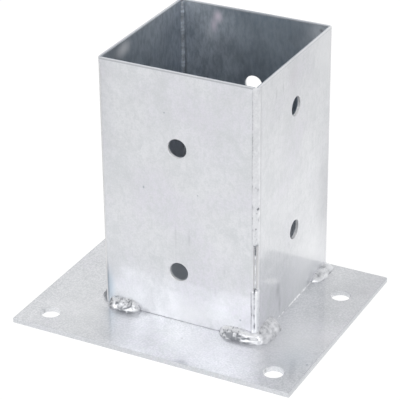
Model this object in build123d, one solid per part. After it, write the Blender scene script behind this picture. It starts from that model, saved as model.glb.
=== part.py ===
from build123d import *

import math
import os

# Sleeve: two equal L-shaped sheets that stand round a square post
inside_width = 91.0
sheet_thickness = 2.0
sleeve_height = 150.0
bend_inner_radius = 1.0
sheet_edge_break = 0.3
root_gap = 0.3

# Base plate: how far it reaches out from the sleeve's walls. The back wall is nearly flush with it
plate_thickness = 3.0
plate_side_ledge = 37.5
plate_front_ledge = 39.0
plate_back_ledge = 1.0
plate_corner_radius = 1.0
plate_edge_break = 0.4

# Bolt holes, two over each other in every wall. The two bolt directions lie at
# different heights, so that the bolts miss each other inside the post
wall_hole_diameter = 11.0
wall_hole_pitch = 75.0
front_hole_above_plate = 31.0
side_hole_below_rim = 29.0
hole_edge_break = 0.3

# Anchor holes in the plate: two at its front corners, two beside the sleeve
anchor_hole_diameter = 11.0
anchor_side_margin = 16.0
anchor_front_margin = 15.0
anchor_row_spacing = 89.0

# Corner seams: a long flat bead from the rim, a bare stretch, a short fat bead above the plate
bead_below_rim = 0.2
bare_stretch_length = 26.7
lower_bead_height = 31.0
upper_bead_proud = 0.3
lower_bead_proud = 0.65
seam_bead_taper = 1.0

# Foot welds: short fillets between wall and plate, next to the sleeve's corners. Laid by hand,
# each has its own legs, up the wall and out over the plate. Their faces bulge between the toes
foot_weld_bulge = 0.9
front_left_wall_leg = 6.0
front_left_plate_leg = 5.6
front_right_wall_leg = 5.4
front_right_plate_leg = 5.3
right_near_wall_leg = 6.8
right_near_plate_leg = 7.5
right_far_wall_leg = 3.4
right_far_plate_leg = 6.1
left_weld_leg = 5.2
front_left_weld_length = 20.0
front_right_weld_length = 23.0
near_side_weld_length = 23.0
far_side_weld_length = 22.0
weld_past_seam_corner = 4.0
weld_past_fold = 1.0

# Ripples of the foot welds. A hand-laid bead swells again every so many of them, its last
# ones are lower by a share of its height, and its blunt nose has a share of it
ripple_pitch = 3.0
ripple_depth = 0.25
swell_ripples = 4.3
last_ripple_drop = 0.25
nose_height = 0.3

# Breaking an edge takes at most this share of the thickness
edge_break_limit = 0.4

# Sizes worked out from these
inner_half = inside_width / 2
outer_half = inner_half + sheet_thickness
free_end = inner_half - root_gap
bend_outer_radius = bend_inner_radius + sheet_thickness
bend_start = outer_half - bend_outer_radius
plate_half_width = outer_half + plate_side_ledge
plate_back = outer_half + plate_back_ledge
plate_front = -outer_half - plate_front_ledge
plate_top = plate_thickness
rim = plate_top + sleeve_height
front_hole_height = plate_top + front_hole_above_plate
side_hole_height = rim - side_hole_below_rim - wall_hole_pitch
anchor_x = plate_half_width - anchor_side_margin
anchor_front_y = plate_front + anchor_front_margin
anchor_back_y = anchor_front_y + anchor_row_spacing
cutter_overrun = 1.0
same_size = 1e-4


def edge_break(wanted, thickness):
    """Width of a broken edge that the thickness can take."""
    return min(wanted, edge_break_limit * thickness)


def block(low, high):
    """Box between two corners."""
    size = [b - a for a, b in zip(low, high)]
    middle = [(a + b) / 2 for a, b in zip(low, high)]
    return Pos(*middle) * Box(*size)


def hole_mouths(solid, diameter):
    """Round edges of the holes of one diameter."""
    rounds = solid.edges().filter_by(GeomType.CIRCLE)
    return rounds.filter_by(lambda e: abs(e.radius - diameter / 2) < same_size)


def make_plate():
    """Flat plate with rounded cut edges and four anchor holes."""
    plate = block((-plate_half_width, plate_front, 0), (plate_half_width, plate_back, plate_top))
    plate = fillet(plate.edges().filter_by(Axis.Z), plate_corner_radius)
    outlines = plate.edges().group_by(Axis.Z)
    plate = chamfer(outlines[0] + outlines[-1], edge_break(plate_edge_break, plate_thickness))
    for x in (-anchor_x, anchor_x):
        for y in (anchor_front_y, anchor_back_y):
            plate -= Pos(x, y, plate_top / 2) * Cylinder(anchor_hole_diameter / 2, 2 * plate_thickness)
    upper_mouths = hole_mouths(plate, anchor_hole_diameter).group_by(Axis.Z)[-1]
    return chamfer(upper_mouths, edge_break(hole_edge_break, plate_thickness))


def wall_holes(lowest, turn):
    """Two round cutters, one over the other, that point out through the wall at angle turn."""
    cutters = []
    for height in (lowest, lowest + wall_hole_pitch):
        place = Pos(0, -outer_half, height) * Rot(90, 0, 0)
        cutter = place * Cylinder(wall_hole_diameter / 2, 4 * sheet_thickness)
        cutters.append(Rot(0, 0, turn) * cutter)
    return cutters


def make_l_sheet():
    """Front and left walls, folded from one sheet at the front left corner."""
    outline = Polyline(
        (-outer_half, -outer_half),
        (free_end, -outer_half),
        (free_end, -inner_half),
        (-inner_half, -inner_half),
        (-inner_half, free_end),
        (-outer_half, free_end),
        close=True,
    )
    section = make_face(outline)
    outside_of_fold = section.vertices().sort_by_distance((-outer_half, -outer_half, 0))[0]
    section = fillet(outside_of_fold, bend_outer_radius)
    inside_of_fold = section.vertices().sort_by_distance((-inner_half, -inner_half, 0))[0]
    section = fillet(inside_of_fold, bend_inner_radius)
    sheet = Pos(0, 0, plate_top) * extrude(section, sleeve_height)
    ends = sheet.edges().group_by(Axis.Z)
    sheet = chamfer(ends[0] + ends[-1], edge_break(sheet_edge_break, sheet_thickness))
    for cutter in wall_holes(front_hole_height, 0) + wall_holes(side_hole_height, -90):
        sheet -= cutter
    mouths = hole_mouths(sheet, wall_hole_diameter)
    outer_mouths = mouths.filter_by(lambda e: min(e.arc_center.X, e.arc_center.Y) < same_size - outer_half)
    return chamfer(outer_mouths, edge_break(hole_edge_break, sheet_thickness))


def foot_weld_section(length, throat, below):
    """Half section of a foot weld along X from 0 on, to be turned about X.

    It has a crest for each ripple and a blunt nose at each end. The crests rise and
    fall a little and reach at most the throat. All of it stands on a core of the
    radius that is below the metal's surface.
    """
    count = max(4, round(length / ripple_pitch))
    step = length / count
    nose = below + nose_height * throat
    points = [(0, 0), (0, nose)]
    for i in range(count):
        swell = (1 + math.cos(2 * math.pi * i / swell_ripples)) / 2
        crest = below + throat - ripple_depth * (1 - swell)
        if i in (0, count - 1):
            crest -= last_ripple_drop * throat
        points.append(((i + 0.5) * step, crest))
        if i < count - 1:
            points.append(((i + 1) * step, below + throat - 2 * ripple_depth))
    points += [(length, nose), (length, 0)]
    return make_face(Polyline(*points, close=True))


def foot_weld(wall_turn, start, end, wall_leg, plate_leg):
    """Convex fillet between plate and wall, from start to end along the wall as seen from outside it.

    Its round passes through both toes, and its centre lies behind the wall and under the plate.
    """
    length = end - start
    face_width = math.hypot(wall_leg, plate_leg)
    radius = (face_width**2 / 4 + foot_weld_bulge**2) / (2 * foot_weld_bulge)
    back = (radius - foot_weld_bulge) / face_width
    behind_wall = back * wall_leg - plate_leg / 2
    under_plate = back * plate_leg - wall_leg / 2
    below = math.hypot(behind_wall, under_plate)
    bead = revolve(foot_weld_section(length, radius - below, below), Axis.X, 360)
    bead = Pos(0, behind_wall, -under_plate) * bead
    far = 2 * radius
    bead -= block((-far, 0, -far), (length + far, far, far))
    bead -= block((-far, -far, -far), (length + far, far, 0))
    return Rot(0, 0, wall_turn) * Pos(start, -outer_half, plate_top) * bead


def seam_bead(low, high, proud):
    """Upright bead in the notch of the front right corner, from height low to height high."""
    radius = sheet_thickness + proud
    bead = Cylinder(radius, high - low, align=(Align.CENTER, Align.CENTER, Align.MIN))
    bead = chamfer(bead.edges().filter_by(GeomType.CIRCLE), min(seam_bead_taper, 0.5 * radius))
    bead = Pos(inner_half, -inner_half, low) * bead
    reach = 2 * radius
    bottom = low - cutter_overrun
    top = high + cutter_overrun
    front_wall = block((free_end - reach, -outer_half, bottom), (free_end, 0, top))
    right_wall = block((0, -free_end, bottom), (outer_half, reach - free_end, top))
    post_space = block((inner_half - reach, -inner_half, bottom), (inner_half, reach - inner_half, top))
    return bead - front_wall - right_wall - post_space


def upper_seam_bead():
    """The long bead, nearly flush with both walls, that ends in a flat face just under the rim."""
    low = plate_top + lower_bead_height + bare_stretch_length
    high = rim - bead_below_rim
    bead = seam_bead(low, high + 2 * seam_bead_taper, upper_bead_proud)
    far = 2 * outer_half
    return bead - block((0, -far, high), (far, 0, high + far))


def lower_seam_bead():
    """The short fat bead. It stands on the plate, and keeps inside the notch where the foot welds pass."""
    low = plate_top - 2 * seam_bead_taper
    bead = seam_bead(low, plate_top + lower_bead_height, lower_bead_proud)
    bottom = low - cutter_overrun
    far = 2 * outer_half
    front_toe = plate_top + front_right_wall_leg
    side_toe = plate_top + right_near_wall_leg
    bead -= block((0, -far, bottom), (far, 0, plate_top))
    bead -= block((0, -far, bottom), (far, -outer_half, front_toe))
    bead -= block((outer_half, -far, bottom), (far, 0, side_toe))
    return bead


def foot_welds():
    """The six foot welds by name. The two at the front seam corner meet in a mitre."""
    past_corner = outer_half + weld_past_seam_corner
    past_fold = bend_start + weld_past_fold
    front_left_end = front_left_weld_length - bend_start
    front_right_start = outer_half - front_right_weld_length
    near_side_end = near_side_weld_length - outer_half
    mitre = Plane(origin=(outer_half, -outer_half, 0), z_dir=(1, 1, 0))
    front_right = foot_weld(0, front_right_start, past_corner, front_right_wall_leg, front_right_plate_leg)
    right_near = foot_weld(90, -past_corner, near_side_end, right_near_wall_leg, right_near_plate_leg)
    return {
        "foot_weld_front_left": foot_weld(
            0, -bend_start, front_left_end, front_left_wall_leg, front_left_plate_leg
        ),
        "foot_weld_front_right": split(front_right, mitre, Keep.BOTTOM),
        "foot_weld_right_near": split(right_near, mitre, Keep.TOP),
        "foot_weld_right_far": foot_weld(
            90, past_fold - far_side_weld_length, past_fold, right_far_wall_leg, right_far_plate_leg
        ),
        "foot_weld_left_near": foot_weld(
            -90, bend_start - far_side_weld_length, bend_start, left_weld_leg, left_weld_leg
        ),
        "foot_weld_left_far": foot_weld(-90, -outer_half, near_side_end, left_weld_leg, left_weld_leg),
    }


def make_parts():
    """Every piece by name, in its place."""
    half_turn = Rot(0, 0, 180)
    sheet = make_l_sheet()
    upper = upper_seam_bead()
    lower = lower_seam_bead()
    parts = {
        "base_plate": make_plate(),
        "sleeve_sheet_front_left": sheet,
        "sleeve_sheet_back_right": half_turn * sheet,
        "seam_bead_front_upper": upper,
        "seam_bead_front_lower": lower,
        "seam_bead_back_upper": half_turn * upper,
        "seam_bead_back_lower": half_turn * lower,
    }
    parts.update(foot_welds())
    return parts


os.makedirs("parts", exist_ok=True)
for name, shape in make_parts().items():
    export_step(shape, f"parts/{name}.step")
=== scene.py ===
import math

import bmesh
import bpy
from mathutils import Matrix, Vector, noise


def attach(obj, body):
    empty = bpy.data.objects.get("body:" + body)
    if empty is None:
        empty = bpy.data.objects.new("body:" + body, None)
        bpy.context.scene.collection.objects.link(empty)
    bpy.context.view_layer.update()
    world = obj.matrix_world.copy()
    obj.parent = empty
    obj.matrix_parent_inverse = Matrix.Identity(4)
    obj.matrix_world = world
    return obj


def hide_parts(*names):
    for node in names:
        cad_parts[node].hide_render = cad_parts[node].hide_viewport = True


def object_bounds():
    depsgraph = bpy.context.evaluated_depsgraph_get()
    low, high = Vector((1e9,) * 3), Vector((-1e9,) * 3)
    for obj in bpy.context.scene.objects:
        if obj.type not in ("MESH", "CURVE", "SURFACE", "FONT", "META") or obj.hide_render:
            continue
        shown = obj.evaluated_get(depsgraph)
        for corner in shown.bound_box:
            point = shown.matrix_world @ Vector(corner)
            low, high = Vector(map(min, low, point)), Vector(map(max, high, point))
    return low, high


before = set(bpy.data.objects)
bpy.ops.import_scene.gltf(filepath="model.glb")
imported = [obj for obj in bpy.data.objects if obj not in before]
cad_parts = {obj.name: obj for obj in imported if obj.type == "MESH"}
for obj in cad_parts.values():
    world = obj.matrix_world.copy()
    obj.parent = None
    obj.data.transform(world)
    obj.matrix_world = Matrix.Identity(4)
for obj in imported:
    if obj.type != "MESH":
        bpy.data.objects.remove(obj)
cad_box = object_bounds()

mm = 0.001

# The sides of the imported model
box_low, box_high = cad_box
plate_front = box_low[1]
plate_side = box_high[0]
rim = box_high[2]

# Sleeve and plate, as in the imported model
plate_top = 3.0 * mm
wall_outside = 47.5 * mm
wall_inside = 45.5 * mm
sheet_end = 45.2 * mm

# How deep a bead reaches into the metal that it is welded to
sunk = 0.15 * mm

# Camera

camera_azimuth = math.radians(27.658)
camera_elevation = math.radians(27.606)
camera_roll = math.radians(-0.621)
camera_distance = 1044.65 * mm
aim_right = -10.037 * mm
aim_height = 56.517 * mm
lens_length = 167.27
sensor = 36.0


def make_camera():
    """Camera at the photograph's viewing angle, aimed a little left of the sleeve's axis."""
    data = bpy.data.cameras.new("camera")
    data.sensor_width = sensor
    data.lens = lens_length
    data.clip_start = 0.05
    data.clip_end = 30.0
    a, e = camera_azimuth, camera_elevation
    right = Vector((math.cos(a), math.sin(a), 0))
    back = Vector((math.sin(a) * math.cos(e), -math.cos(a) * math.cos(e), math.sin(e)))
    up = back.cross(right)
    roll = Matrix.Rotation(camera_roll, 3, back)
    right, up = roll @ right, roll @ up
    aim = Vector((aim_right * math.cos(a), aim_right * math.sin(a), aim_height))
    camera = bpy.data.objects.new("camera", data)
    bpy.context.scene.collection.objects.link(camera)
    turn = Matrix((right, up, back)).transposed().to_4x4()
    camera.matrix_world = Matrix.Translation(aim + back * camera_distance) @ turn
    bpy.context.scene.camera = camera


# Shader nodes


def put(tree, kind, inputs=None, **settings):
    """One shader node, with its settings, and its sockets by name or number."""
    made = tree.nodes.new(kind)
    for key, value in settings.items():
        setattr(made, key, value)
    for key, value in (inputs or {}).items():
        socket = made.inputs[key]
        if isinstance(value, bpy.types.NodeSocket):
            tree.links.new(value, socket)
        else:
            socket.default_value = value
    return made


def stretched(tree, coords, stretch=(1, 1, 1), turn=(0, 0, 0), shift=(0, 0, 0)):
    """Object coordinates, turned and scaled for a pattern."""
    inputs = {"Vector": coords, "Scale": stretch, "Rotation": turn, "Location": shift}
    return put(tree, "ShaderNodeMapping", inputs).outputs[0]


def clouds(tree, coords, scale, detail=3.0, roughness=0.5, distortion=0.0):
    """Soft noise from 0 to 1. The scale is in clouds to the metre."""
    inputs = {"Vector": coords, "Scale": scale, "Detail": detail, "Roughness": roughness}
    inputs["Distortion"] = distortion
    return put(tree, "ShaderNodeTexNoise", inputs).outputs[0]


def level(tree, value, low, high, to_low=0.0, to_high=1.0, smooth=True):
    """The value's span from low to high, spread to another span."""
    inputs = {0: value, 1: low, 2: high, 3: to_low, 4: to_high}
    kind = "SMOOTHSTEP" if smooth else "LINEAR"
    return put(tree, "ShaderNodeMapRange", inputs, interpolation_type=kind, clamp=True).outputs[0]


def work(tree, operation, a, b=None, c=None):
    """One sum on one, two or three values."""
    inputs = {i: v for i, v in enumerate((a, b, c)) if v is not None}
    return put(tree, "ShaderNodeMath", inputs, operation=operation).outputs[0]


def blend_colour(tree, factor, first, second, how="MIX"):
    """The second colour laid over the first where the factor is 1."""
    made = put(tree, "ShaderNodeMix", data_type="RGBA", blend_type=how)
    for key, value in (("Factor_Float", factor), ("A_Color", first), ("B_Color", second)):
        socket = next(s for s in made.inputs if s.identifier == key)
        if isinstance(value, bpy.types.NodeSocket):
            tree.links.new(value, socket)
        else:
            socket.default_value = value
    return next(s for s in made.outputs if s.identifier == "Result_Color")


def spot(tree, coords, centre, reach, stretch=(1, 1, 1)):
    """1 at a place on the metal, falling softly to 0 at its reach."""
    off = put(tree, "ShaderNodeVectorMath", {0: coords, 1: centre}, operation="SUBTRACT").outputs[0]
    off = put(tree, "ShaderNodeVectorMath", {0: off, 1: stretch}, operation="MULTIPLY").outputs[0]
    far = put(tree, "ShaderNodeVectorMath", {0: off}, operation="LENGTH").outputs["Value"]
    return level(tree, far, 0.0, reach, 1.0, 0.0)


def new_material(name):
    """Empty material with its Principled shader, its Object coordinates and its tree."""
    material = bpy.data.materials.new(name)
    material.use_nodes = True
    tree = material.node_tree
    tree.nodes.clear()
    shader = put(tree, "ShaderNodeBsdfPrincipled")
    put(tree, "ShaderNodeOutputMaterial", {"Surface": shader.outputs[0]})
    coords = put(tree, "ShaderNodeTexCoord").outputs["Object"]
    return material, tree, shader, coords


def bumped(tree, *layers):
    """A normal from bump layers of (height, strength, distance)."""
    normal = None
    for height, strength, distance in layers:
        inputs = {"Height": height, "Strength": strength, "Distance": distance}
        if normal is not None:
            inputs["Normal"] = normal
        normal = put(tree, "ShaderNodeBump", inputs).outputs[0]
    return normal


# Zinc finishes

zinc = (0.765, 0.775, 0.805, 1)
zinc_lavender = (0.725, 0.715, 0.785, 1)
zinc_dull = (0.66, 0.68, 0.705, 1)
zinc_grit = (0.58, 0.60, 0.63, 1)
zinc_dark = (0.30, 0.31, 0.33, 1)
slate = (0.20, 0.25, 0.30, 1)
zinc_inside = (0.66, 0.71, 0.77, 1)
zinc_bright = (0.93, 0.94, 0.96, 1)
zinc_lit = (0.96, 0.96, 0.97, 1)
zinc_edge = (0.44, 0.46, 0.49, 1)
root_pale = (0.86, 0.92, 1.0, 1)
weld_dark = (0.20, 0.21, 0.23, 1)


def zinc_colour(tree, coords, lavender, dull, gritty):
    """Hot-dip zinc: pale grey with lavender clouds, dull blotches, a fine mottle and a finer grain.

    The values say how strong the clouds, the blotches with the mottle, and the grain are.
    """
    broad = clouds(tree, coords, 26, 3.0, 0.55, 0.4)
    colour = blend_colour(tree, level(tree, broad, 0.42, 0.68, 0.0, lavender), zinc, zinc_lavender)
    blotches = clouds(tree, stretched(tree, coords, (1, 1, 0.75), shift=(3, 1, 2)), 70, 6.0, 0.68, 0.5)
    colour = blend_colour(tree, level(tree, blotches, 0.45, 0.70, 0.0, dull), colour, zinc_dull)
    mottle = clouds(tree, stretched(tree, coords, (1, 1, 0.7)), 340, 5.0, 0.7)
    colour = blend_colour(tree, level(tree, mottle, 0.40, 0.66, 0.0, 0.8 * dull), colour, zinc_dull)
    grain = clouds(tree, coords, 950, 3.0, 0.6)
    colour = blend_colour(tree, level(tree, grain, 0.50, 0.62, 0.0, gritty), colour, zinc_grit)
    return blend_colour(tree, level(tree, grain, 0.38, 0.50, gritty, 0.0), colour, zinc_bright)


def specks(tree, coords, scale, size, share):
    """Small dark pores here and there: 1 in a pore, 0 elsewhere."""
    cells = put(tree, "ShaderNodeTexVoronoi", {"Vector": coords, "Scale": scale})
    near = level(tree, cells.outputs["Distance"], size * 0.5, size, 1.0, 0.0)
    chosen = put(tree, "ShaderNodeSeparateColor", {0: cells.outputs["Color"]}).outputs[0]
    return work(tree, "MULTIPLY", near, work(tree, "LESS_THAN", chosen, share))


def zinc_gloss(shader):
    """Zinc mirrors sharply at a flat angle over its soft sheen, so the metal has a thin glossy layer."""
    shader.inputs["Metallic"].default_value = 1.0
    shader.inputs["Coat Weight"].default_value = 1.0
    shader.inputs["Coat Roughness"].default_value = 0.09
    shader.inputs["Coat IOR"].default_value = 1.9


def separate(tree, coords):
    """The three parts of a place: sideways, lengthways and upwards."""
    return tuple(put(tree, "ShaderNodeSeparateXYZ", {0: coords}).outputs)


def off_axis(tree, coords):
    """How far out from the sleeve's axis a place is, sideways or lengthways, whichever is more."""
    sideways, lengthways, _ = separate(tree, coords)
    return work(tree, "MAXIMUM", work(tree, "ABSOLUTE", sideways), work(tree, "ABSOLUTE", lengthways))


def inner_face(tree, coords, inside, outside):
    """One value on the inner faces of the sleeve, and another on the outer ones."""
    out = off_axis(tree, coords)
    return level(tree, out, wall_inside + 0.3 * mm, wall_outside - 0.9 * mm, inside, outside)


def hole_bores(tree, coords):
    """1 in the bores of the wall holes, which are pale and dull, and 0 on the faces and the rim."""
    out = off_axis(tree, coords)
    _, _, height = separate(tree, coords)
    past_inner_face = level(tree, out, wall_inside + 0.1 * mm, wall_inside + 0.5 * mm)
    short_of_outer_face = level(tree, out, wall_outside - 0.4 * mm, wall_outside - 0.1 * mm, 1.0, 0.0)
    below_rim = level(tree, height, rim - 4 * mm, rim - 3 * mm, 1.0, 0.0)
    within = work(tree, "MULTIPLY", past_inner_face, short_of_outer_face)
    return work(tree, "MULTIPLY", within, below_rim)


def inside_tone(tree, coords, colour):
    """Inside the sleeve the colour is bright low down, and bluer and darker towards the top, on the left
    wall towards the front, and on the right.
    """
    sideways, lengthways, height = separate(tree, coords)
    inside = inner_face(tree, coords, 1.0, 0.0)
    low = work(tree, "MULTIPLY", inside, level(tree, height, 35 * mm, 65 * mm, 0.95, 0.0))
    colour = blend_colour(tree, low, colour, zinc_bright)
    inside = work(tree, "MULTIPLY", inside, level(tree, height, 60 * mm, 100 * mm, 0.2, 1.0))
    colour = blend_colour(tree, work(tree, "MULTIPLY", inside, 0.9), colour, zinc_inside)
    on_left_wall = level(tree, sideways, 0.1 * mm - wall_inside, 0.7 * mm - wall_inside, 1.0, 0.0)
    towards_front = level(tree, lengthways, -30 * mm, 40 * mm, 0.55, 0.15, False)
    left = work(tree, "MULTIPLY", on_left_wall, towards_front)
    right = level(tree, sideways, -36 * mm, 4 * mm, 0.0, 0.6)
    dull = work(tree, "MULTIPLY", work(tree, "ADD", left, right), inside)
    colour = blend_colour(tree, dull, colour, slate)
    grain = clouds(tree, stretched(tree, coords, (1, 1, 0.4)), 420, 5.0, 0.7)
    grain = work(tree, "MULTIPLY", level(tree, grain, 0.36, 0.66, 0.0, 0.45), inside)
    return blend_colour(tree, grain, colour, slate)


def stained_and_shaded(tree, coords, colour, stains):
    """Lays marks over the colour, stains and painted light and shade, each a place, a reach, a stretch, a
    strength and a tint.
    """
    for centre, reach, stretch, strength, tint in stains:
        place = tuple(c * mm for c in centre)
        mask = work(tree, "MULTIPLY", spot(tree, coords, place, reach * mm, stretch), strength)
        colour = blend_colour(tree, mask, colour, tint)
    return colour


# The tints of the stains, and of the painted light and shade
blue_stain_and_shade = (0.42, 0.52, 0.62, 1)
grey_stain_and_shade = (0.40, 0.41, 0.44, 1)
rosy_stain = (0.62, 0.58, 0.63, 1)
rosy_highlight = (0.95, 0.88, 0.97, 1)

# The faces that the marks lie on, in mm
front_face = -wall_outside / mm
right_face = wall_outside / mm
inside_wall = wall_inside / mm
plate_face = plate_top / mm

# A mark is a place and a reach in mm, how much shorter the reach is along each axis, a strength
# and a tint. The dark stripe at the foot of the fold is painted shade, a painted dark reflection in the
# bend, and it also takes the gloss away
fold_painted_shade = ((-46.9, -46.7, 15.5), 17.5, (3.3, 5.0, 1.0), 1.0, slate)
front_marks = (
    # Painted shade high on the left of the front wall, and a painted reflection of the floor, brighter low
    # in its middle
    ((-47.0, front_face, 128.0), 48.0, (3.6, 1, 0.6), 0.28, grey_stain_and_shade),
    ((4.0, front_face, 10.0), 20.0, (0.9, 1, 1.3), 0.60, zinc_bright),
    fold_painted_shade,
    # Painted shade and a painted bluish reflection round the foot of the fold
    ((-46.8, -46.9, 14.0), 14.0, (5.0, 5.0, 1.0), 1.0, slate),
    ((-44.3, front_face, 13.5), 17.0, (3.2, 3.0, 1.0), 0.75, blue_stain_and_shade),
    ((-46.3, -47.4, 27.0), 9.0, (4.0, 4.0, 1.0), 0.55, grey_stain_and_shade),
    ((-46.2, front_face, 13.0), 15.0, (4.5, 3.0, 1.0), 0.55, grey_stain_and_shade),
    ((-22.4, front_face, 4.0), 3.6, (0.7, 1, 1.5), 0.55, grey_stain_and_shade),
    # More painted shade near the foot of the fold
    ((-42.0, front_face, 24.0), 14.0, (1.5, 1.5, 1.0), 0.22, grey_stain_and_shade),
    ((37.5, front_face, 13.5), 0.9, (1, 1, 1), 0.8, slate),
    ((-7.2, front_face, 128.8), 0.8, (1, 1, 1), 0.6, slate),
    ((-20.8, front_face, 81.8), 0.8, (1, 1, 0.6), 0.7, slate),
    ((12.1, front_face, 84.0), 0.8, (1, 1, 1), 0.5, slate),
    ((-47.1, -46.8, 74.4), 1.2, (1, 1, 1), 0.5, slate),
    ((6.7, front_face, 56.5), 7.5, (7.0, 1, 1), 0.30, grey_stain_and_shade),
    ((-1.6, front_face, 56.0), 14.0, (14.0, 1, 1), 0.25, grey_stain_and_shade),
    ((22.4, front_face, 27.0), 4.5, (3.0, 1, 1), 0.25, grey_stain_and_shade),
    ((28.1, front_face, 41.7), 4.0, (4.0, 1, 1), 0.22, grey_stain_and_shade),
)
right_marks = (
    # Painted shade low down towards the back of the right wall, where it mirrors the plate, and painted
    # reflections, brighter low in the middle and high at the back
    ((right_face, 49.0, 52.0), 30.0, (1, 1, 0.5), 0.60, grey_stain_and_shade),
    ((right_face, 14.0, 18.0), 40.0, (1, 1, 1.3), 0.70, zinc_bright),
    ((right_face, 38.0, 142.0), 26.0, (1, 1, 0.8), 0.45, zinc_bright),
    ((right_face, -20.7, 21.0), 7.0, (1, 1.7, 0.8), 0.55, grey_stain_and_shade),
    ((right_face, -18.5, 11.0), 6.0, (1, 2.6, 0.6), 0.45, grey_stain_and_shade),
    ((right_face, 21.0, 5.5), 4.5, (1, 1, 1), 0.6, grey_stain_and_shade),
    ((right_face, -25.1, 140.5), 4.0, (1, 3.0, 0.9), 0.35, grey_stain_and_shade),
    ((right_face, -16.8, 141.4), 4.5, (1, 3.0, 0.9), 0.30, grey_stain_and_shade),
    ((right_face, -4.0, 143.0), 11.0, (1, 1.2, 1), 0.30, rosy_stain),
)

# Painted light on the bare stretch of the open corner, and painted shade on the lines where the upper bead
# meets the two walls
corner_marks = (
    ((46.3, -46.3, 44.0), 15.0, (4.5, 4.5, 1.0), 1.0, zinc_bright),
    ((44.6, front_face, 107.0), 0.95, (1, 1, 0.008), 0.30, grey_stain_and_shade),
    ((right_face, -43.7, 107.0), 1.4, (1, 1, 0.012), 0.40, grey_stain_and_shade),
)

# On the inner faces of the back and left walls: painted reflections and painted highlights high up, and
# painted shade beside the back left seam
inside_marks = (
    ((-5.0, inside_wall, 157.0), 62.0, (1, 4.0, 3.0), 0.42, slate),
    ((-22.5, inside_wall, 146.5), 6.0, (1.3, 4.0, 1), 0.95, rosy_highlight),
    ((-25.0, inside_wall, 141.0), 7.0, (1.9, 4.0, 1), 0.75, rosy_highlight),
    ((-28.0, inside_wall, 136.0), 7.0, (1.8, 4.0, 1), 0.35, zinc),
    ((-inside_wall, -22.0, 148.0), 6.5, (4.0, 0.55, 1), 0.95, zinc_bright),
    ((40.0, inside_wall, 146.5), 7.5, (1, 4.0, 1), 0.35, zinc),
    ((41.2, inside_wall, 149.5), 1.6, (1, 4.0, 1), 0.70, weld_dark),
    ((-43.4, inside_wall, 95.0), 70.0, (50.0, 30.0, 1), 0.55, weld_dark),
)
plate_marks = (
    ((81.9, -57.2, plate_face), 1.1, (1, 1, 1), 0.85, slate),
    ((82.2, -45.0, plate_face), 4.5, (2.0, 1, 1), 0.35, grey_stain_and_shade),
    ((72.9, -54.3, plate_face), 17.0, (1, 0.8, 1), 0.30, blue_stain_and_shade),
    ((80.2, -31.3, plate_face), 10.0, (1, 1, 1), 0.25, rosy_stain),
    ((80.7, 26.6, plate_face), 10.0, (1, 1, 1), 0.20, rosy_stain),
    ((57.8, -2.4, plate_face), 12.0, (1, 1, 1), 0.10, grey_stain_and_shade),
    # Broad painted light and painted shade over the plate, with the sleeve's painted shade on its right
    ((-20.0, -70.0, plate_face), 34.0, (0.9, 1, 1), 0.28, grey_stain_and_shade),
    ((66.0, -38.0, plate_face), 40.0, (1, 0.9, 1), 0.55, zinc_bright),
    ((-56.0, -62.0, plate_face), 28.0, (1, 1, 1), 0.30, zinc_bright),
    ((22.0, -62.0, plate_face), 26.0, (0.8, 1, 1), 0.20, zinc_bright),
    ((84.0, 35.0, plate_face), 62.0, (1.0, 0.8, 1), 0.38, grey_stain_and_shade),
    # Painted shadows under the front left weld
    ((-31.0, -56.0, plate_face), 6.5, (0.55, 1.1, 1), 0.32, grey_stain_and_shade),
    ((-42.0, -55.5, plate_face), 6.0, (0.6, 1, 1), 0.22, grey_stain_and_shade),
    ((-21.0, -49.3, plate_face), 3.6, (0.6, 1.2, 1), 0.40, grey_stain_and_shade),
    # Painted shadow under the front right weld
    ((43.5, -54.5, plate_face), 5.0, (0.45, 1.4, 1), 0.28, grey_stain_and_shade),
    ((54.0, -57.0, plate_face), 5.5, (1.6, 0.9, 1), 0.45, zinc_bright),
    ((57.5, -63.5, plate_face), 5.5, (1.6, 0.9, 1), 0.45, zinc_bright),
    ((61.0, -70.0, plate_face), 5.5, (1.6, 0.9, 1), 0.35, zinc_bright),
    ((63.7, -70.5, 1.5), 1.7, (1, 1, 0.8), 0.55, weld_dark),
    ((74.3, -70.0, 1.5), 2.0, (1, 1, 0.8), 0.65, weld_dark),
    ((-74.0, -70.0, 1.5), 1.8, (1, 1, 0.8), 0.50, weld_dark),
)


def rim_shade_line(tree, coords, colour):
    """Painted shade on the broken outer edge of the rim: a thin grey line, weaker on the right."""
    sideways, _, height = separate(tree, coords)
    lower_side = level(tree, height, rim - 0.95 * mm, rim - 0.65 * mm)
    upper_side = level(tree, height, rim - 0.1 * mm, rim - 0.01 * mm, 1.0, 0.0)
    line = work(tree, "MULTIPLY", lower_side, upper_side)
    strength = level(tree, sideways, wall_inside - 1.5 * mm, wall_outside - 0.1 * mm, 0.85, 0.35)
    return blend_colour(tree, work(tree, "MULTIPLY", line, strength), colour, zinc_edge)


def plate_edge_tone(tree, coords, colour):
    """Painted shade along the cut edges of the plate, darker than its faces, most of all at the sides."""
    sideways, lengthways, _ = separate(tree, coords)
    out = work(tree, "ABSOLUTE", sideways)
    near_side = level(tree, out, plate_side - 0.9 * mm, plate_side - 0.5 * mm)
    near_front = level(tree, lengthways, plate_front + 0.5 * mm, plate_front + 0.9 * mm, 1.0, 0.0)
    near_edge = work(tree, "MAXIMUM", near_side, near_front)
    colour = blend_colour(tree, work(tree, "MULTIPLY", near_edge, 0.40), colour, zinc_edge)
    side_face = level(tree, out, plate_side - 0.15 * mm, plate_side - 0.05 * mm, 0.0, 0.45)
    return blend_colour(tree, side_face, colour, zinc_edge)


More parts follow.
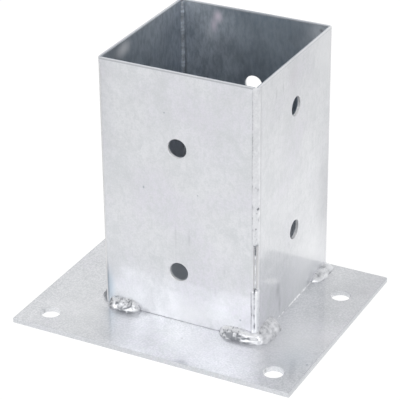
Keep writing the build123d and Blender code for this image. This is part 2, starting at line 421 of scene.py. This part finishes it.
def sheet_zinc():
    """Finish of the two folded sheets: mottled zinc with faint runs down the walls, under stains and painted
    light and shade.
    """
    material, tree, shader, coords = new_material("galvanised_sheet")
    colour = zinc_colour(tree, coords, lavender=0.8, dull=0.95, gritty=0.14)
    runs = clouds(tree, stretched(tree, coords, (1, 1, 0.08)), 330, 4.0, 0.6, 0.3)
    colour = blend_colour(tree, level(tree, runs, 0.52, 0.80, 0.0, 0.35), colour, zinc_dull)
    pores = specks(tree, coords, 95, 0.09, 0.10)
    colour = blend_colour(tree, work(tree, "MULTIPLY", pores, 0.45), colour, zinc_dark)
    colour = inside_tone(tree, coords, colour)
    colour = stained_and_shaded(tree, coords, colour, front_marks + right_marks + corner_marks + inside_marks)
    colour = rim_shade_line(tree, coords, colour)
    bores = hole_bores(tree, coords)
    colour = blend_colour(tree, bores, colour, zinc_lit)
    zinc_gloss(shader)
    tree.links.new(colour, shader.inputs["Base Color"])
    rough = level(tree, clouds(tree, coords, 60, 4.0, 0.6), 0.3, 0.7, 0.40, 0.56)
    rough = work(tree, "ADD", rough, inner_face(tree, coords, 0.15, 0.0))
    tree.links.new(rough, shader.inputs["Roughness"])
    # Where the painted shade lies at the foot of the fold, the gloss is taken away too
    place, reach, stretch = fold_painted_shade[:3]
    fold = spot(tree, coords, tuple(c * mm for c in place), reach * mm, stretch)
    gloss = work(tree, "SUBTRACT", inner_face(tree, coords, 0.12, 1.0), fold)
    tree.links.new(work(tree, "MAXIMUM", gloss, 0.0), shader.inputs["Coat Weight"])
    metal = level(tree, bores, 0.0, 1.0, 1.0, 0.0, False)
    tree.links.new(metal, shader.inputs["Metallic"])
    fine = clouds(tree, coords, 900, 3.0, 0.6)
    soft = clouds(tree, stretched(tree, coords, (1, 1, 0.35)), 130, 3.0, 0.5)
    normal = bumped(tree, (soft, 0.3, 0.3 * mm), (fine, 0.2, 0.06 * mm))
    tree.links.new(normal, shader.inputs["Normal"])
    return material


def plate_zinc():
    """Finish of the base plate: cloudier, with brush scratches, under stains and painted light and shade."""
    material, tree, shader, coords = new_material("galvanised_plate")
    shifted = stretched(tree, coords, shift=(0.4, 0.2, 0.1))
    colour = zinc_colour(tree, shifted, lavender=0.8, dull=1.35, gritty=0.48)
    brushed = clouds(tree, stretched(tree, coords, (1, 0.06, 1), (0, 0, 0.9)), 620, 4.0, 0.6)
    colour = blend_colour(tree, level(tree, brushed, 0.52, 0.8, 0.0, 0.45), colour, zinc_dull)
    pores = specks(tree, coords, 105, 0.09, 0.12)
    colour = blend_colour(tree, work(tree, "MULTIPLY", pores, 0.5), colour, zinc_dark)
    colour = blend_colour(tree, inner_face(tree, coords, 0.95, 0.0), colour, zinc_bright)
    colour = stained_and_shaded(tree, coords, colour, plate_marks)
    colour = plate_edge_tone(tree, coords, colour)
    zinc_gloss(shader)
    tree.links.new(colour, shader.inputs["Base Color"])
    rough = level(tree, clouds(tree, coords, 45, 4.0, 0.6), 0.3, 0.7, 0.38, 0.52)
    tree.links.new(rough, shader.inputs["Roughness"])
    fine = clouds(tree, coords, 800, 3.0, 0.6)
    soft = clouds(tree, coords, 110, 3.0, 0.5)
    normal = bumped(tree, (soft, 0.3, 0.3 * mm), (brushed, 0.2, 0.08 * mm), (fine, 0.2, 0.06 * mm))
    tree.links.new(normal, shader.inputs["Normal"])
    return material


def weld_zinc():
    """Finish of the beads, by their tone: painted highlights on the crests, and painted shade in the
    hollows, which are also dull.
    """
    material, tree, shader, coords = new_material("galvanised_weld")
    tone = put(tree, "ShaderNodeAttribute", attribute_name="tone").outputs["Fac"]
    colour = zinc_colour(tree, coords, lavender=0.3, dull=0.5, gritty=0.1)
    colour = blend_colour(tree, level(tree, tone, 0.5, 1.0), colour, zinc_bright)
    colour = blend_colour(tree, level(tree, tone, 0.0, 0.5, 1.0, 0.0), colour, weld_dark)
    zinc_gloss(shader)
    tree.links.new(colour, shader.inputs["Base Color"])
    rough = level(tree, tone, 0.1, 0.9, 0.52, 0.30)
    tree.links.new(rough, shader.inputs["Roughness"])
    tree.links.new(level(tree, tone, 0.05, 0.5, 0.25, 1.0), shader.inputs["Coat Weight"])
    fine = clouds(tree, coords, 1400, 3.0, 0.6)
    tree.links.new(bumped(tree, (fine, 0.3, 0.08 * mm)), shader.inputs["Normal"])
    return material


def root_zinc():
    """Finish of the metal that came through inside the corners: rough and pale."""
    material, tree, shader, coords = new_material("galvanised_root")
    tone = put(tree, "ShaderNodeAttribute", attribute_name="tone").outputs["Fac"]
    crust = clouds(tree, coords, 700, 4.0, 0.7)
    tone = work(tree, "MULTIPLY", tone, level(tree, crust, 0.35, 0.6, 0.6, 1.0))
    tree.links.new(blend_colour(tree, tone, weld_dark, root_pale), shader.inputs["Base Color"])
    shader.inputs["Metallic"].default_value = 0.3
    shader.inputs["Roughness"].default_value = 0.38
    tree.links.new(bumped(tree, (crust, 0.5, 0.2 * mm)), shader.inputs["Normal"])
    return material


# Beads


def wave(point, size, seed):
    """Smooth noise from about -1 to 1. Its lumps are about as large as the size."""
    return noise.noise(Vector(point) / size + Vector((seed * 7.31, seed * 3.17, seed)))


def from_0_to_1(value):
    """The value, held between 0 and 1."""
    return max(0.0, min(1.0, value))


def bell(off, reach):
    """1 where the distance is nought, falling softly to nearly 0 at twice the reach."""
    return math.exp(-((off / reach) ** 2))


def mark_tone(marks, along, across):
    """How much brighter or darker the marks make a place on a bead."""
    tone = 0.0
    for mark_along, mark_across, reach, drawn_out, change in marks:
        off = math.hypot((along / mm - mark_along) / drawn_out, across / mm - mark_across)
        tone += change * bell(off, reach)
    return tone


def bead_blank(bm, length, radius, around, along, bluntness):
    """Closed round bar along X with blunt noses, centred on the origin. Returns its vertices."""
    made = bmesh.ops.create_uvsphere(bm, u_segments=around, v_segments=along, radius=1.0)
    for v in made["verts"]:
        polar = math.acos(max(-1.0, min(1.0, v.co.z)))
        along_bar = 1 - 2 * polar / math.pi
        side = Vector((v.co.x, v.co.y))
        if side.length > 1e-6:
            side = side.normalized() * radius * max(0.0, 1 - abs(along_bar) ** bluntness) ** 0.4
        v.co = Vector((along_bar * length / 2, side.x, side.y))
    return made["verts"]


def cut_flat(bm, point, normal):
    """Cuts the bead away on the side that the normal points to, and closes it with a flat face."""
    geometry = bm.verts[:] + bm.edges[:] + bm.faces[:]
    cut = bmesh.ops.bisect_plane(
        bm, geom=geometry, dist=1e-7, plane_co=point, plane_no=normal, clear_outer=True, clear_inner=False
    )
    rims = [e for e in cut["geom_cut"] if isinstance(e, bmesh.types.BMEdge)]
    closed = bmesh.ops.edgeloop_fill(bm, edges=rims)
    for face in closed["faces"]:
        face.smooth = False
    for edge in rims:
        edge.smooth = False


def smooth_all(bm):
    """Shades every face of the bead smooth."""
    for face in bm.faces:
        face.smooth = True


def finish_bead(bm, name, node, material):
    """Makes the bead an object of its own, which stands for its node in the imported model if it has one."""
    bmesh.ops.triangulate(bm, faces=[f for f in bm.faces if len(f.verts) > 4])
    bmesh.ops.recalc_face_normals(bm, faces=bm.faces[:])
    mesh = bpy.data.meshes.new(name)
    bm.to_mesh(mesh)
    bm.free()
    mesh.materials.append(material)
    piece = bpy.data.objects.new(name, mesh)
    bpy.context.scene.collection.objects.link(piece)
    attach(piece, "root")
    if node:
        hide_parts(node)


# How far a foot weld's face bulges out between its toes
foot_bulge = 0.9 * mm

# How much of a foot weld's blank shows along the wall. The tips of its noses are inside the metal
kept_length = 0.96

# The foot welds, in mm. Each has these values:
# turn: the wall that it stands at, as a turn of the front wall, in degrees
# ends: where it starts and stops along that wall, from left to right as seen from outside
# legs: how far it reaches up the wall and out over the plate
# shade: its middle tone, from 0 for dark to 1 for bright
# grit: how grainy its tone is, and how many dark pits it has near the wall
# toe: how much painted shadow darkens its edge on the plate
# contrast: how strong its tones and marks are
# crater: where the arc went out, with the ripples round it
# ripples: how far from the crater each one lies
# ripple_depth: how deep they are, and how much painted shade darkens them
# open_way, open_to: the side of the crater that they lie on, and how far to both sides of it, in degrees,
# where 0 is along the wall to the right and 90 is towards the plate
# lumps: how high the lumps of its face are
# drawn_out: how far the lumps are drawn out along it
# marks: painted highlights, painted shade and dark spots, each a place, a reach, how far it is drawn out,
# and a change of tone
# A place on a bead is how far along the wall it lies, and how far from the bead's middle line, which
# is more than 0 on the side of the plate
foot_welds = {
    "front_left": {
        "turn": 0,
        "ends": (-45.0, -24.5),
        "legs": (6.0, 5.6),
        "shade": 0.43,
        "grit": 0.8,
        "toe": 0.16,
        "contrast": 0.78,
        "crater": (-34.4, -1.9),
        "ripples": (5.3,),
        "ripple_depth": 0.19,
        "open_way": 62,
        "open_to": 74,
        "lumps": 0.38,
        "drawn_out": 1.1,
        "marks": (
            (-38.3, 2.5, 0.75, 1.3, 0.22),
            (-40.4, 0.6, 1.2, 1.0, -0.3),
            (-38.4, 0.7, 0.8, 1.0, -0.3),
            (-27.6, -2.1, 1.1, 1.0, 0.5),
            (-28.2, -4.3, 0.7, 1.0, 0.35),
            (-26.7, -3.9, 0.7, 1.0, 0.35),
            (-28.2, 1.6, 0.8, 1.4, 0.45),
            (-25.7, 1.7, 0.7, 1.0, 0.45),
            (-32.8, 2.8, 0.4, 2.6, 0.18),
            (-34.6, 2.3, 0.5, 3.0, -0.3),
            (-29.6, 2.3, 0.6, 1.4, 0.2),
            (-31.2, 0.5, 0.8, 1.2, -0.25),
            (-33.2, -3.5, 0.6, 1.0, 0.25),
            (-34.1, -1.3, 0.9, 1.3, 0.2),
            (-40.0, -4.3, 0.6, 1.0, 0.25),
            (-42.5, -2.0, 0.7, 1.0, -0.45),
            (-43.1, -0.4, 0.7, 0.8, -0.35),
            (-41.7, 1.6, 0.8, 1.0, -0.45),
            (-41.2, -0.5, 0.5, 0.8, -0.35),
            (-37.9, 0.1, 0.6, 1.3, -0.45),
            (-36.4, -0.8, 0.6, 1.2, -0.25),
            (-26.6, 0.5, 0.5, 0.8, -0.25),
            (-24.2, 0.8, 0.6, 0.8, -0.4),
            (-34.2, 4.1, 0.5, 3.4, -0.3),
            (-29.5, 3.6, 0.6, 2.5, -0.35),
        ),
    },
    "front_right": {
        "turn": 0,
        "ends": (24.6, 51.5),
        "legs": (5.4, 5.3),
        "shade": 0.44,
        "grit": 0.9,
        "toe": 0.08,
        "contrast": 0.9,
        "crater": (45.0, 0.0),
        "ripples": (7.5, 11.0, 15.5, 18.5),
        "ripple_depth": 0.12,
        "open_way": 180,
        "open_to": 70,
        "lumps": 0.36,
        "drawn_out": 2.2,
        "marks": (
            (33.0, -2.2, 1.6, 3.0, 0.35),
            (29.6, -2.8, 1.2, 1.5, 0.4),
            (40.5, -1.9, 1.5, 2.6, 0.4),
            (41.2, 2.9, 0.35, 3.6, 0.4),
            (41.3, 2.0, 0.5, 1.5, -0.25),
            (26.6, 0.0, 3.0, 0.3, 0.35),
            (42.0, -2.2, 1.8, 2.2, 0.25),
            (44.6, 2.1, 0.4, 3.6, 0.3),
            (43.5, 3.4, 0.6, 2.6, -0.25),
            (46.7, 0.0, 1.3, 1.3, 0.45),
            (47.6, -2.0, 1.1, 1.0, 0.35),
            (49.6, 1.5, 1.0, 1.2, 0.2),
            (50.3, 2.9, 1.0, 1.2, 0.25),
            (30.3, 2.4, 0.8, 1.0, 0.2),
            (27.2, 0.6, 0.8, 1.2, 0.3),
            (32.6, 1.7, 1.4, 1.2, -0.8),
            (29.6, 0.8, 0.9, 1.0, -0.3),
            (34.6, 2.6, 0.8, 1.2, -0.45),
            (35.3, -0.2, 0.9, 3.5, -0.35),
            (38.5, 0.9, 0.7, 2.6, -0.4),
            (36.3, 2.2, 0.7, 1.4, -0.4),
            (38.7, 2.4, 0.6, 1.8, -0.5),
            (41.5, 1.5, 0.6, 2.2, -0.45),
            (44.2, 0.8, 0.5, 2.0, -0.4),
            (36.5, 3.6, 0.6, 2.5, -0.25),
            (42.5, 4.1, 0.6, 4.0, -0.3),
            (28.7, 1.8, 0.7, 0.8, -0.35),
            (28.4, -0.6, 0.6, 0.8, -0.3),
            (33.0, -1.7, 0.5, 0.8, -0.3),
            (30.9, -1.0, 0.6, 0.8, -0.35),
        ),
    },
    "right_near": {
        "turn": 90,
        "ends": (-51.5, -24.5),
        "legs": (6.8, 7.5),
        "shade": 0.41,
        "grit": 0.35,
        "toe": 0.0,
        "contrast": 0.6,
        "crater": (-46.0, -1.0),
        "ripples": (4.4, 7.0, 9.6, 12.4, 15.6, 18.6),
        "ripple_depth": 0.04,
        "open_way": 20,
        "open_to": 80,
        "lumps": 0.24,
        "drawn_out": 1.0,
        "marks": (
            (-41.0, -4.4, 1.5, 1.6, -0.15),
            (-46.5, -2.7, 0.8, 0.8, -0.3),
            (-49.2, -3.2, 1.4, 1.0, 0.5),
            (-48.8, -0.8, 1.6, 1.0, 0.35),
            (-36.5, 2.2, 0.6, 2.4, 0.22),
            (-40.0, 1.0, 0.6, 2.2, 0.18),
            (-33.0, -1.0, 0.7, 1.6, 0.18),
        ),
    },
    "right_far": {
        "turn": 90,
        "ends": (24.0, 47.5),
        "legs": (3.4, 6.1),
        "shade": 0.47,
        "grit": 0.4,
        "toe": 0.1,
        "contrast": 0.8,
        "crater": (18.0, 0.0),
        "ripples": (11.0, 14.5, 20.0),
        "ripple_depth": 0.05,
        "open_way": 0,
        "open_to": 90,
        "lumps": 0.3,
        "drawn_out": 1.8,
        "marks": (
            (25.8, 0.4, 1.6, 1.0, 0.3),
            (28.6, -0.6, 0.8, 1.2, -0.1),
            (33.5, 2.6, 0.9, 2.2, 0.3),
            (40.0, -0.6, 0.9, 2.6, 0.25),
        ),
    },
    "left_near": {
        "turn": -90,
        "ends": (22.0, 45.5),
        "legs": (5.4, 5.6),
        "shade": 0.5,
        "grit": 1.0,
        "toe": 0.2,
        "contrast": 0.9,
        "crater": (30.0, 0.0),
        "ripples": (3.5, 6.5, 9.5, 12.5),
        "ripple_depth": 0.25,
        "open_way": 10,
        "open_to": 90,
        "lumps": 0.4,
        "drawn_out": 1.0,
        "marks": (
            (44.0, -1.0, 2.4, 1.0, -0.55),
            (42.0, 2.0, 1.6, 1.0, -0.35),
        ),
    },
    "left_far": {
        "turn": -90,
        "ends": (-47.5, -24.5),
        "legs": (5.2, 5.2),
        "shade": 0.5,
        "grit": 0.8,
        "toe": 0.2,
        "contrast": 0.9,
        "crater": (-30.0, 0.0),
        "ripples": (3.5, 6.5, 9.5, 12.5, 15.5),
        "ripple_depth": 0.22,
        "open_way": 180,
        "open_to": 80,
        "lumps": 0.35,
        "drawn_out": 1.2,
        "marks": (),
    },
}


def foot_weld(side, weld, seed, material):
    """Fillet bead at the foot of a wall.

    It is a round bar that bulges out between its two toes, with its back sunk in wall and plate. Its
    ripples lie round the crater where the arc went out.
    """
    wall_leg, plate_leg = (leg * mm for leg in weld["legs"])
    start, end = (place * mm for place in weld["ends"])
    face_width = math.hypot(wall_leg, plate_leg)
    radius = (face_width**2 / 4 + foot_bulge**2) / (2 * foot_bulge)
    back = (radius - foot_bulge) / face_width
    behind_wall = back * wall_leg - plate_leg / 2
    under_plate = back * plate_leg - wall_leg / 2
    face_angle = math.atan2(plate_leg, -wall_leg)
    middle = (start + end) / 2
    bm = bmesh.new()
    tone = bm.verts.layers.float.new("tone")
    for v in bead_blank(bm, (end - start) / kept_length, radius, around=240, along=150, bluntness=4.0):
        out = Vector((v.co.y, v.co.z))
        if out.length < 1e-9:
            continue
        across = radius * (math.atan2(out.y, out.x) - face_angle)
        along = v.co.x + middle
        place = (along / weld["drawn_out"], across, 0)

        # Ripples round the crater
        off_along = along / mm - weld["crater"][0]
        off_across = 1.1 * (across / mm - weld["crater"][1])
        reach = math.hypot(off_along, off_across) + 0.9 * wave(place, 3.5 * mm, seed)
        crease = sum(bell(reach - ripple, 0.50) for ripple in weld["ripples"])
        way = math.cos(math.atan2(off_across, off_along) - math.radians(weld["open_way"]))
        crease *= from_0_to_1(0.5 + 2.5 * (way - math.cos(math.radians(weld["open_to"]))))
        crease *= from_0_to_1(0.8 + 1.0 * wave(place, 4.5 * mm, seed + 5))

        # Lumps and grain, pits near the wall, painted highlights on the lumps, painted shade in the ripples
        # and over the half by the plate, and a painted shadow at its edge on the plate
        lump = wave(place, 3.0 * mm, seed + 1)
        grain = wave(place, 1.1 * mm, seed + 2)
        grow = weld["lumps"] * lump + 0.16 * grain - weld["ripple_depth"] * crease
        pits = max(0.0, wave((along, across, 0), 0.8 * mm, seed + 3))
        near_wall = from_0_to_1(0.4 - 2.0 * across / face_width)
        shade = 0.28 * lump + 0.24 * weld["grit"] * grain - weld["ripple_depth"] * 1.8 * crease
        at_toe = from_0_to_1(10 * (across / face_width - 0.34))
        shade -= weld["grit"] * near_wall * pits + weld["toe"] * at_toe
        shade = weld["shade"] + weld["contrast"] * (shade + mark_tone(weld["marks"], along, across))
        shade -= 0.12 * from_0_to_1(0.5 + across / face_width)
        v[tone] = from_0_to_1(shade)

        # The face grows and the ends are ragged
        out = out.normalized() * (out.length + grow * mm)
        towards_end = (2 * (along - middle) / (end - start)) ** 4
        ragged = 0.9 * mm * towards_end * wave((0, across, middle), 1.8 * mm, seed + 4)
        v.co = Vector((v.co.x + ragged, out.x, out.y))
    place = Matrix.Translation((middle, behind_wall - wall_outside, plate_top - under_plate))
    bmesh.ops.transform(bm, matrix=place, verts=bm.verts[:])
    smooth_all(bm)
    cut_flat(bm, (0, sunk - wall_outside, 0), (0, 1, 0))
    cut_flat(bm, (0, 0, plate_top - sunk), (0, 0, -1))
    turn = Matrix.Rotation(math.radians(weld["turn"]), 3, "Z")
    bmesh.ops.rotate(bm, cent=(0, 0, 0), matrix=turn, verts=bm.verts[:])
    finish_bead(bm, "weld_" + side, "foot_weld_" + side, material)


# The corner seams, in mm. Each has these values:
# low, high: the heights of its ends
# radius: of its round face, from the corner inside the sleeve
# unevenness: how high its lumps are
# flat_top: whether its upper end is cut level, just below the rim
# creases: grooves along it, darkened with painted shade, each as an angle round the bead, 0 at the front and
# 90 at the right
# ridges: painted highlights along it, as angles too
# marks: bright and dark places, each a height, an angle, a reach and a change of tone
upper_seam = {
    "low": 60.7,
    "high": 152.8,
    "radius": 2.3,
    "unevenness": 0.07,
    "flat_top": True,
    "creases": (),
    "ridges": (),
    "marks": (
        (83.7, 60, 0.7, -0.6),
        (81.3, 40, 0.5, -0.4),
        (72.0, 31, 0.55, -0.45),
        (62.0, 40, 0.8, -0.3),
    ),
}
lower_seam = {
    "low": 2.85,
    "high": 34.2,
    "radius": 2.65,
    "unevenness": 0.10,
    "flat_top": False,
    "creases": (14,),
    "ridges": (40,),
    "marks": (
        (33.4, 20, 0.8, -0.5),
        (8.0, 0, 2.5, 0.4),
    ),
}

# How far a seam runs on before its top is cut level
seam_overrun = 2.0


def arc_from(angle, line, radius):
    """How far round a bead an angle lies from a line along it, in mm."""
    return radius / mm * (angle - math.radians(line))


def seam_tone(seam, radius, angle, height, lump, grain, crease, ridge):
    """How bright a place on a seam is: painted highlights on its lumps and ridges, painted shade in its
    creases and at its toes, and its marks.
    """
    toe = math.acos((wall_outside - wall_inside) / radius)
    toe_arc = radius / mm * min(abs(angle + toe), abs(angle - toe - math.pi / 2))
    shade = 0.55 + 0.25 * lump + 0.20 * grain - 0.40 * crease + 0.55 * ridge
    # Painted shade at the toes, where the bead meets the sheets
    shade -= 0.32 * bell(toe_arc, 0.4)
    for mark_height, mark_angle, reach, change in seam["marks"]:
        off = math.hypot(height / mm - mark_height, arc_from(angle, mark_angle, radius))
        shade += change * bell(off, reach)
    return from_0_to_1(shade)


def seam_bead(name, node, half_turn, seam, seed, material):
    """Upright bead in the notch of an open corner, with painted shade at its toes where it meets the sheets.
    """
    radius = seam["radius"] * mm
    low = seam["low"] * mm
    high = (seam["high"] + (seam_overrun if seam["flat_top"] else 0)) * mm
    middle = (low + high) / 2
    bm = bmesh.new()
    tone = bm.verts.layers.float.new("tone")
    for v in bead_blank(bm, high - low, radius, around=72, along=260, bluntness=40.0):
        out = Vector((v.co.y, v.co.z))
        if out.length < 1e-9:
            continue
        angle = math.atan2(out.y, -out.x)
        height = middle - v.co.x
        place = (height, 3 * mm * math.cos(angle), 3 * mm * math.sin(angle))
        lump = wave(place, 3.5 * mm, seed)
        grain = wave(place, 1.1 * mm, seed + 1)
        wandered = angle - math.radians(5) * wave((height, 0, 0), 6 * mm, seed + 2)
        crease = sum(bell(arc_from(wandered, line, radius), 0.35) for line in seam["creases"])
        ridge = sum(bell(arc_from(wandered, line, radius), 0.6) for line in seam["ridges"])
        v[tone] = seam_tone(seam, radius, angle, height, lump, grain, crease, ridge)
        grow = seam["unevenness"] * (lump + 0.35 * grain) - 0.15 * crease
        out = out.normalized() * (out.length + grow * mm)
        v.co = Vector((v.co.x, out.x, out.y))
    upright = Matrix.Rotation(math.radians(90), 4, "Y")
    corner = Matrix.Translation((wall_inside, -wall_inside, middle))
    bmesh.ops.transform(bm, matrix=corner @ upright, verts=bm.verts[:])
    smooth_all(bm)
    cut_flat(bm, (wall_inside, -wall_inside, 0), (-1, 1, 0))
    if seam["flat_top"]:
        cut_flat(bm, (0, 0, seam["high"] * mm), (0, 0, 1))
    if half_turn:
        turn = Matrix.Rotation(math.pi, 3, "Z")
        bmesh.ops.rotate(bm, cent=(0, 0, 0), matrix=turn, verts=bm.verts[:])
    finish_bead(bm, name, node, material)


# Weld metal that came through inside the open corners, as thin lines up the sheets' free edges, in mm
thick_root = {"low": 84.0, "high": 152.3, "radius": 1.15, "unevenness": 0.5}
thin_root = {"low": 4.0, "high": 86.0, "radius": 0.4, "unevenness": 0.15}

# At the front the thin one stops short, and the corner is open above it
open_corner_foot = 54.7

# Two thin runs of zinc at the foot of the right wall: where they start and end along it, in mm, their
# radius, how uneven they are, and their seed
zinc_runs = {
    "right_near": (-26.0, 2.0, 0.25, 0.25, 31),
    "right_far": (1.0, 25.0, 0.45, 0.25, 33),
}


def thin_line(name, start, end, radius, unevenness, seed, material):
    """Thin uneven line of metal from one place to another, in mm."""
    start, end = Vector(start) * mm, Vector(end) * mm
    length = (end - start).length
    bm = bmesh.new()
    tone = bm.verts.layers.float.new("tone")
    for v in bead_blank(bm, length, radius * mm, around=20, along=240, bluntness=30.0):
        out = Vector((v.co.y, v.co.z))
        if out.length < 1e-9:
            continue
        along = (v.co.x, 0, 0)
        lump = wave(along, 4.5 * mm, seed) + 0.6 * wave(along, 1.6 * mm, seed + 1)
        out = out.normalized() * max(0.1 * mm, out.length + unevenness * lump * mm)
        v.co = Vector((v.co.x, out.x, out.y))
        # Brighter where the line is thicker: painted glints
        v[tone] = max(0.35, min(1.0, 0.72 + 0.8 * lump))
    turn = (end - start).to_track_quat("X", "Z").to_matrix().to_4x4()
    bmesh.ops.transform(bm, matrix=Matrix.Translation((start + end) / 2) @ turn, verts=bm.verts[:])
    smooth_all(bm)
    finish_bead(bm, name, None, material)


def corner_root(name, sign, root, high, seed, material):
    """Thin upright line of weld metal in an open corner, at the front right or at the back left."""
    x, y = sign * sheet_end / mm, -sign * sheet_end / mm
    thin_line(name, (x, y, root["low"]), (x, y, high), root["radius"], root["unevenness"], seed, material)


def make_beads(material, root_material):
    """Every bead, in its place."""
    for seed, (side, weld) in enumerate(foot_welds.items(), 1):
        foot_weld(side, weld, seed, material)
    for seed, side in enumerate(("front", "back"), 11):
        at_back = side == "back"
        sign = -1 if at_back else 1
        for part, seam, seam_seed in (("upper", upper_seam, seed), ("lower", lower_seam, seed + 4)):
            name = "seam_%s_%s" % (side, part)
            seam_bead(name, "seam_bead_%s_%s" % (side, part), at_back, seam, seam_seed, material)
        corner_root("root_%s_upper" % side, sign, thick_root, thick_root["high"], seed + 10, root_material)
        high = thin_root["high"] if at_back else open_corner_foot
        corner_root("root_%s_lower" % side, sign, thin_root, high, seed + 14, material)
    for side, (start, end, radius, unevenness, seed) in zinc_runs.items():
        ends = [(right_face, along, plate_face) for along in (start, end)]
        thin_line("zinc_run_" + side, ends[0], ends[1], radius, unevenness, seed, material)


# Studio

# How strongly the floor glows: to the camera, and in the metal near the plate and far from it
seen_floor_glow = 0.93
near_floor_glow = 0.97
far_floor_glow = 0.75

# The middle of the brightest part of the floor, how far it reaches, and from where the rest is grey
bright_floor = (0.05, 0.03, 0.0)
white_reach = 0.10
grey_reach = 0.36

# How bright the room is in the metal: on the left, on the right, in front, and high up
left_glow = 0.98
right_glow = 1.02
front_glow = 1.15
high_glow = 0.70


def make_floor():
    """Wide pale floor that stays white to the camera, and keeps the sleeve's shadow.

    In the metal it is white close to the plate and a little greyer further out.
    """
    bm = bmesh.new()
    under_plate = Matrix.Translation((0, 0, -0.3 * mm))
    bmesh.ops.create_grid(bm, x_segments=1, y_segments=1, size=6.0, matrix=under_plate)
    mesh = bpy.data.meshes.new("floor")
    bm.to_mesh(mesh)
    bm.free()
    floor = bpy.data.objects.new("floor", mesh)
    bpy.context.scene.collection.objects.link(floor)
    material = bpy.data.materials.new("pale_floor")
    material.use_nodes = True
    tree = material.node_tree
    tree.nodes.clear()
    path = put(tree, "ShaderNodeLightPath")
    coords = put(tree, "ShaderNodeTexCoord").outputs["Object"]
    far = put(tree, "ShaderNodeVectorMath", {0: coords, 1: bright_floor}, operation="DISTANCE")
    mirrored = level(tree, far.outputs["Value"], white_reach, grey_reach, near_floor_glow, far_floor_glow)
    mirrored = work(tree, "MULTIPLY", path.outputs["Is Glossy Ray"], mirrored)
    strength = work(tree, "MAXIMUM", path.outputs["Is Camera Ray"], path.outputs["Is Transmission Ray"])
    strength = work(tree, "MAXIMUM", work(tree, "MULTIPLY", strength, seen_floor_glow), mirrored)
    glow = put(tree, "ShaderNodeEmission", {"Color": (1, 1, 1, 1), "Strength": strength})
    paint = put(tree, "ShaderNodeBsdfDiffuse", {"Color": (0.18, 0.18, 0.18, 1)})
    both = put(tree, "ShaderNodeAddShader", {0: glow.outputs[0], 1: paint.outputs[0]})
    put(tree, "ShaderNodeOutputMaterial", {"Surface": both.outputs[0]})
    mesh.materials.append(material)


def make_world():
    """White room behind the sleeve. In the metal it is greyer high up, and brightest in front."""
    world = bpy.data.worlds.new("studio")
    bpy.context.scene.world = world
    world.use_nodes = True
    tree = world.node_tree
    tree.nodes.clear()
    path = put(tree, "ShaderNodeLightPath")
    sideways, lengthways, upwards = separate(tree, put(tree, "ShaderNodeTexCoord").outputs["Generated"])
    high = level(tree, upwards, 0.52, 0.74)
    not_overhead = level(tree, upwards, 0.86, 0.99, 1.0, 0.5)
    high = work(tree, "MULTIPLY", high, not_overhead)
    left_to_right = level(tree, sideways, -0.7, 0.7, left_glow, right_glow, False)
    front_to_back = level(tree, lengthways, -0.8, 0.8, front_glow, 1.0, False)
    mirrored = work(tree, "MULTIPLY", level(tree, high, 0, 1, 1.0, high_glow, False), left_to_right)
    mirrored = work(tree, "MULTIPLY", mirrored, front_to_back)
    seen = work(tree, "MAXIMUM", path.outputs["Is Camera Ray"], path.outputs["Is Transmission Ray"])
    lit = level(tree, path.outputs["Is Glossy Ray"], 0.0, 1.0, 0.6, 1.0, smooth=False)
    lit = work(tree, "MULTIPLY", lit, mirrored)
    strength = work(tree, "MAXIMUM", seen, lit)
    back = put(tree, "ShaderNodeBackground", {"Color": (1, 1, 1, 1), "Strength": strength})
    put(tree, "ShaderNodeOutputWorld", {"Surface": back.outputs[0]})


def soft_lamp(name, place, aim, width, power):
    """Square soft lamp that points at a place."""
    data = bpy.data.lights.new(name, "AREA")
    data.shape = "SQUARE"
    data.size = width
    data.energy = power
    lamp = bpy.data.objects.new(name, data)
    bpy.context.scene.collection.objects.link(lamp)
    back = (Vector(place) - Vector(aim)).normalized()
    lamp.matrix_world = Matrix.Translation(place) @ back.to_track_quat("Z", "Y").to_matrix().to_4x4()


def make_lamps():
    """Two large soft lamps: a strong one at the front left and a weaker one at the front right."""
    soft_lamp("key_lamp", (-0.62, -1.50, 0.80), (0, 0, 0.0), 0.75, 4.2)
    soft_lamp("fill_lamp", (0.74, -1.41, 0.83), (0, 0, 0.0), 0.7, 2.3)


# The scene

make_camera()
sheet_finish = sheet_zinc()
plate_finish = plate_zinc()
weld_finish = weld_zinc()
root_finish = root_zinc()
for node_name, finish in (
    ("base_plate", plate_finish),
    ("sleeve_sheet_front_left", sheet_finish),
    ("sleeve_sheet_back_right", sheet_finish),
):
    for material_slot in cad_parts[node_name].material_slots:
        material_slot.material = finish
make_beads(weld_finish, root_finish)
make_floor()
make_world()
make_lamps()
bpy.context.scene.view_settings.view_transform = "Standard"
